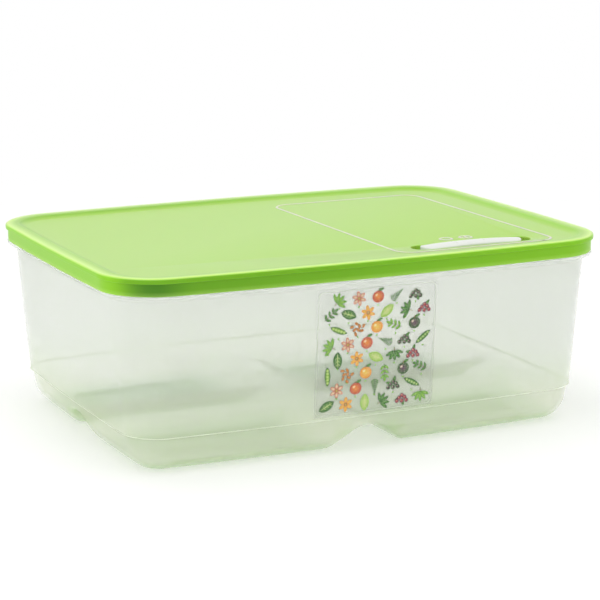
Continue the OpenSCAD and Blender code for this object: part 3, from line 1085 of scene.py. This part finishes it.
# %% [markdown]
# ## The print
# The film on the front wall carries many small coloured motifs. Here they are a generic garden
# pattern of leaves, sprigs, blossoms, berries and seeds, in staggered rows. Each shape is a small
# disc that is stretched, pointed and turned, and the whole sheet is then laid on the curved,
# slanting wall.

# %% Where the film lies
film_low, film_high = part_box("front_print")
film_z0 = in_mm(film_low.z)
film_z1 = in_mm(film_high.z)
film_w = 92.0
film_face = 0.22
film_gap = 0.01
wall_slope = (wall_in_low - wall_in_top) / (flange_z - 4.3 - step_h - 0.6)


def on_wall(u, v, out):
    """A point of the sheet, u along the wall and v up, at a distance out from the wall."""
    inset = wall_in_low - (v - step_h - 0.6) * wall_slope
    radius = side_r - inset + out
    return radius * sin(u / radius), -(side_cy + radius * cos(u / radius)), v


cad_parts["front_print"].data.materials.clear()
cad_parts["front_print"].data.materials.append(film)
print("film from", film_z0, "to", film_z1, "mm above the table")

# %% [markdown]
# Every motif is built of discs of ink on a flat sheet. Discs that lie on others are put a layer higher,
# so that no two of them share a face.

# %% Small shapes
sheet = bmesh.new()
ink_layer = sheet.verts.layers.float_color.new("ink")
layer_t = 0.02


def blob(at, size, turn, tones, pointed=0.0, layer=0, sides=18):
    """A disc of ink: stretched to size, pointed, turned, with a tone for its middle and its edge."""
    made = bmesh.ops.create_circle(
        sheet, cap_ends=True, cap_tris=True, segments=sides, radius=1
    )["verts"]
    for vert in made:
        x, y, _ = vert.co
        rim = hypot(x, y) > 0.5
        vert[ink_layer] = tones[rim]
        if rim:
            y *= abs(y) ** pointed
        x *= size[0] / 2
        y *= size[1] / 2
        vert.co.x = at[0] + x * cos(turn) - y * sin(turn)
        vert.co.y = at[1] + x * sin(turn) + y * cos(turn)
        vert.co.z = layer


def dot(at, size, tones, layer, sides):
    """A round disc of ink."""
    blob(at, (size, size), 0.0, tones, 0.0, layer, sides)


def moved(at, distance, turn):
    """A point some distance away in a direction."""
    return at[0] + distance * cos(turn), at[1] + distance * sin(turn)


def ray(foot, way, reach, length, width, tones, pointed, layer, sides):
    """A disc of ink that points away from its foot, with its middle at some reach."""
    blob(moved(foot, reach, way), (length, width), way, tones, pointed, layer, sides)


print("discs and rays ready")

# %% [markdown]
# The inks are the soft greens, reds and browns of a printed garden chart. Two of them make a pair, one
# for the middle of a disc and one for its edge.

# %% Inks
deep = linear(44, 96, 38)
leaf_green = linear(86, 148, 52)
bright = linear(142, 190, 62)
pale = linear(202, 214, 140)
orange = linear(228, 140, 48)
red = linear(186, 62, 52)
plum = linear(96, 52, 84)
brown = linear(142, 92, 54)
yellow = linear(232, 196, 84)
cream = linear(240, 228, 188)
stem_tones = (brown, deep)
leaf_tones = (leaf_green, deep)
print("ten inks")

# %% [markdown]
# Leaves and fronds come first. Each is a stem or a midrib with smaller discs that point away from it.
# Every motif takes its place, its size, its turn and its pair of inks.

# %% Leaves, sprigs, fronds and fans
def leaf(at, size, turn, tones):
    """One pointed leaf with a pale midrib and side veins."""
    blob(at, (size, size * 0.55), turn, tones, 0.55)
    blob(at, (size * 0.86, 0.5), turn, (pale, pale), 0.3, 1, 8)
    for i in (-1, 0, 1):
        foot = moved(at, i * size * 0.2, turn)
        for side in (-1, 1):
            way = turn + side * 0.9
            ray(foot, way, size * 0.1, size * 0.2, 0.3, (pale, pale), 0.2, 1, 6)


def sprig(at, size, turn, tones):
    """A thin stem with leaflets in pairs and one at its tip."""
    blob(at, (size, 0.5), turn, stem_tones, 0.2, 0, 8)
    for i in range(3):
        foot = moved(at, (i - 1.1) * size * 0.27, turn)
        for side in (-1, 1):
            way = turn + side * 0.85
            ray(foot, way, size * 0.17, size * 0.34, size * 0.15, tones, 0.5, 1, 12)
    ray(at, turn, size * 0.5, size * 0.32, size * 0.16, tones, 0.5, 1, 12)


def fern(at, size, turn, tones):
    """A long frond with many narrow leaflets that shorten towards the tip."""
    blob(at, (size, 0.4), turn, (tones[1], tones[1]), 0.2, 0, 6)
    for i in range(9):
        share = i / 8
        foot = moved(at, (share - 0.45) * size * 0.95, turn)
        reach = size * 0.3 * (1.05 - share)
        for way in (turn - 1.0, turn + 1.0):
            ray(foot, way, reach * 0.5, reach, size * 0.075, tones, 0.4, 1, 8)


def fan(at, size, turn, tones):
    """A fan-shaped leaf of five lobes on a short stem."""
    foot = moved(at, -size * 0.25, turn)
    ray(foot, turn, -size * 0.12, size * 0.4, size * 0.07, stem_tones, 0.1, 0, 6)
    for i in range(5):
        way = turn + (i - 2) * 0.62
        ray(foot, way, size * 0.34, size * 0.7, size * 0.24, tones, 0.3, i % 2, 12)


print("four motifs of leaves")

# %% [markdown]
# Flowers, fruits and seeds are rounder. A small pale disc off the middle gives a fruit its shine.

# %% Blossoms, fruits, pods and seeds
def blossom(at, size, turn, tones):
    """Six petals round a dotted heart."""
    for i in range(6):
        way = turn + i * pi / 3
        ray(at, way, size * 0.29, size * 0.44, size * 0.25, tones, 0.25, i % 2, 12)
    dot(at, size * 0.26, (yellow, brown), 3, 12)
    for i in range(5):
        dot(moved(at, size * 0.06, turn + i * pi * 0.4), size * 0.05, (brown, brown), 4, 6)


def berries(at, size, turn, tones):
    """A bunch of round berries under two small leaves."""
    for side in (-1, 1):
        way = turn + pi / 2 + side * 0.75
        ray(at, way, size * 0.34, size * 0.46, size * 0.22, leaf_tones, 0.5, 0, 12)
    places = ((-0.2, 0.0), (0.2, 0.02), (0.0, -0.22), (0.0, 0.16), (-0.36, -0.2), (0.34, -0.2))
    for i, (x, y) in enumerate(places):
        spot = (at[0] + size * x, at[1] + size * y)
        dot(spot, size * 0.3, tones, 1 + i % 2, 14)
        shine = (spot[0] - size * 0.05, spot[1] + size * 0.05)
        dot(shine, size * 0.08, (cream, tones[0]), 4, 6)


def fruit(at, size, turn, tones):
    """A round fruit with a shine, a short stalk and one leaf."""
    blob(at, (size * 0.84, size * 0.8), 0.0, tones, 0.0, 0, 24)
    shine = (at[0] - size * 0.13, at[1] + size * 0.12)
    blob(shine, (size * 0.26, size * 0.2), 0.7, (cream, tones[0]), 0.0, 1, 10)
    stalk = (at[0], at[1] + size * 0.42)
    blob(stalk, (size * 0.24, size * 0.06), 1.3, (brown, brown), 0.1, 2, 6)
    blob(moved(stalk, size * 0.2, 0.3), (size * 0.42, size * 0.2), 0.35, leaf_tones, 0.5, 3, 12)


def pods(at, size, turn, tones):
    """A slim pod with five round seeds."""
    blob(at, (size * 1.1, size * 0.34), turn, tones, 0.35, 0, 20)
    for i in range(5):
        dot(moved(at, (i - 2) * size * 0.18, turn), size * 0.17, (pale, tones[0]), 1, 10)


def seeds(at, size, turn, tones):
    """A loose handful of plump seeds."""
    for i in range(8):
        way = turn + i * 2.4
        spot = moved(at, size * 0.17 * sqrt(i + 0.2), way)
        blob(spot, (size * 0.34, size * 0.2), way + 0.6, tones, 0.2, i % 4, 12)


print("five motifs of flowers, fruits and seeds")

# %% [markdown]
# The motifs stand in eight staggered rows of six and five. Each takes the fifth next one of the list,
# and a turn of its own, so that no two neighbours look the same.

# %% Lay the motifs out
motifs = (
    (leaf, leaf_green, deep), (fruit, orange, red), (sprig, bright, leaf_green),
    (berries, red, plum), (pods, bright, deep), (blossom, yellow, orange),
    (fern, leaf_green, deep), (fruit, plum, deep), (fan, bright, leaf_green),
    (seeds, orange, brown), (leaf, pale, bright), (berries, plum, deep),
    (sprig, leaf_green, deep), (blossom, cream, red), (fruit, yellow, orange),
    (fan, leaf_green, deep), (pods, leaf_green, deep),
)
rows = 8
columns = 6
margin = 2.5
long_size, round_size = 12.4, 10.6
row_step = (film_z1 - film_z0 - 2 * margin) / rows
column_step = (film_w - 2 * margin) / columns
chosen = 0
for row in range(rows):
    count = columns - row % 2
    for column in range(count):
        draw, middle, edge = motifs[(chosen * 5) % len(motifs)]
        u = (column - (count - 1) / 2) * column_step
        v = film_z0 + margin + (row + 0.5) * row_step
        size = long_size if draw in (leaf, fern, sprig, pods) else round_size
        draw((u, v), size, 0.5 + chosen * 2.1, (middle, edge))
        chosen += 1
print(chosen, "motifs")

# %% [markdown]
# Small leaves fill the gaps between the rows, and a thin grey line runs round the whole sheet. The
# line's long sides are cut into short ones, so that they can bend with the wall.

# %% Small fillers and the border line
line_grey = linear(196, 205, 188)
border_w, border_in, border_r = 0.3, 1.2, 4.0
for row in range(rows - 1):
    for column in range(columns):
        u = (column - (columns - 1) / 2 + 0.5 * (row % 2 == 0)) * column_step
        v = film_z0 + margin + (row + 1) * row_step - 0.6
        if abs(u) < film_w / 2 - border_r:
            blob((u, v), (2.0, 1.1), row + column * 1.3, (bright, leaf_green), 0.3, 0, 8)
border = []
for offset in (0.0, border_w):
    length = film_w - 2 * (border_in + offset)
    height = film_z1 - film_z0 - 2 * (border_in + offset)
    corner = border_r - offset * 0.4
    place = round_rect(length, height, corner, 8, 0.0, (film_z0 + film_z1) / 2)
    verts = bmesh.ops.create_circle(sheet, segments=len(place), radius=1)["verts"]
    for vert, (u, v) in zip(verts, place):
        vert.co = (u, v, 0)
        vert[ink_layer] = line_grey
    border += list({edge for vert in verts for edge in vert.link_edges})
bmesh.ops.bridge_loops(sheet, edges=border)
long_lines = [edge for edge in sheet.edges if edge.calc_length() > 20]
bmesh.ops.subdivide_edges(sheet, edges=long_lines, cuts=12, use_grid_fill=True)
print("sheet has", len(sheet.faces), "faces")

# %% [markdown]
# Ink has a thickness, if a very small one. The sheet is extruded by a few hundredths of a millimetre,
# and then every point of it is put on the wall, just clear of the film's face.

# %% Thicken the ink and lay it on the wall
for vert in sheet.verts:
    vert.co.z = vert.co.z * layer_t
solid = bmesh.ops.extrude_face_region(sheet, geom=list(sheet.faces))["geom"]
for item in solid:
    if isinstance(item, bmesh.types.BMVert):
        item.co.z += layer_t * 1.2
for vert in sheet.verts:
    vert.co = on_wall(vert.co.x, vert.co.y, film_face + film_gap + vert.co.z)
bmesh.ops.recalc_face_normals(sheet, faces=sheet.faces)
finish_piece(sheet, "garden_print", "bin_body", [inks])

# %% [markdown]
# ## Stage and light
# The floor and the background are white. The background's white is only for what the camera sees,
# directly or in a reflection, while the light on the object stays at a plain level. Large soft
# lights above and to the left give the soft shadow under the bin.

# %% Floor
floor_size = 6.0
floor_bm = bmesh.new()
bmesh.ops.create_grid(floor_bm, x_segments=1, y_segments=1, size=floor_size / 2)
floor = as_object(floor_bm, "floor")
floor.location.z = -0.0001
floor_material, nodes, links, shader = new_material("studio_floor", 0.8)
shader.inputs["Base Color"].default_value = linear(203, 203, 202)
shader.inputs["Specular IOR Level"].default_value = 0.0
shader.inputs["Emission Color"].default_value = linear(255, 255, 255)
shader.inputs["Emission Strength"].default_value = 0.45
where = nodes.new("ShaderNodeTexCoord")
reach = nodes.new("ShaderNodeVectorMath")
reach.operation = "LENGTH"
links.new(where.outputs["Object"], reach.inputs[0])
fade = in_range(nodes, links, reach.outputs["Value"], 0.5, 1.3, 1.0, 0.0, "SMOOTHSTEP")
links.new(fade, shader.inputs["Alpha"])
floor.data.materials.append(floor_material)
print("floor ready")

# %% [markdown]
# The world is a plain white room. It is a little darker as a light than as a background, so that the
# object keeps its own shades against the white.

# %% World
world = bpy.data.worlds.new("studio")
bpy.context.scene.world = world
world.use_nodes = True
nodes = world.node_tree.nodes
links = world.node_tree.links
sky = nodes["Background"]
sky.inputs["Color"].default_value = (1.0, 1.0, 1.0, 1.0)
paths = nodes.new("ShaderNodeLightPath")
seen = paths.outputs["Is Camera Ray"]
for ray_kind in ("Is Glossy Ray", "Is Transmission Ray"):
    either = nodes.new("ShaderNodeMath")
    either.operation = "MAXIMUM"
    links.new(seen, either.inputs[0])
    links.new(paths.outputs[ray_kind], either.inputs[1])
    seen = either.outputs[0]
level = in_range(nodes, links, seen, 0.0, 1.0, 0.86, 1.0)
links.new(level, sky.inputs["Strength"])
print("world ready")

# %% [markdown]
# Two soft lights are enough in a white room. The one above gives the light edges and the shadow under
# the bin, and the one at the left lifts the near end.

# %% Lights
def softbox(name, place, aim, width, height, watts):
    """A large flat light that looks at a point."""
    data = bpy.data.lights.new(name, "AREA")
    data.shape = "RECTANGLE"
    data.size = width
    data.size_y = height
    data.energy = watts
    lamp = bpy.data.objects.new(name, data)
    lamp.location = place
    lamp.rotation_euler = (Vector(aim) - Vector(place)).to_track_quat("-Z", "Y").to_euler()
    bpy.context.scene.collection.objects.link(lamp)


softbox("top_softbox", (-0.2, -0.1, 1.5), (0.0, 0.0, 0.05), 1.3, 0.35, 5.0)
softbox("left_softbox", (-1.5, -0.4, 0.7), (0.0, 0.0, 0.08), 0.8, 0.9, 2.4)
print("lights ready")

# %% [markdown]
# The plain view shows colours as they were chosen above.

# %% Colour management
bpy.context.scene.view_settings.view_transform = "Standard"
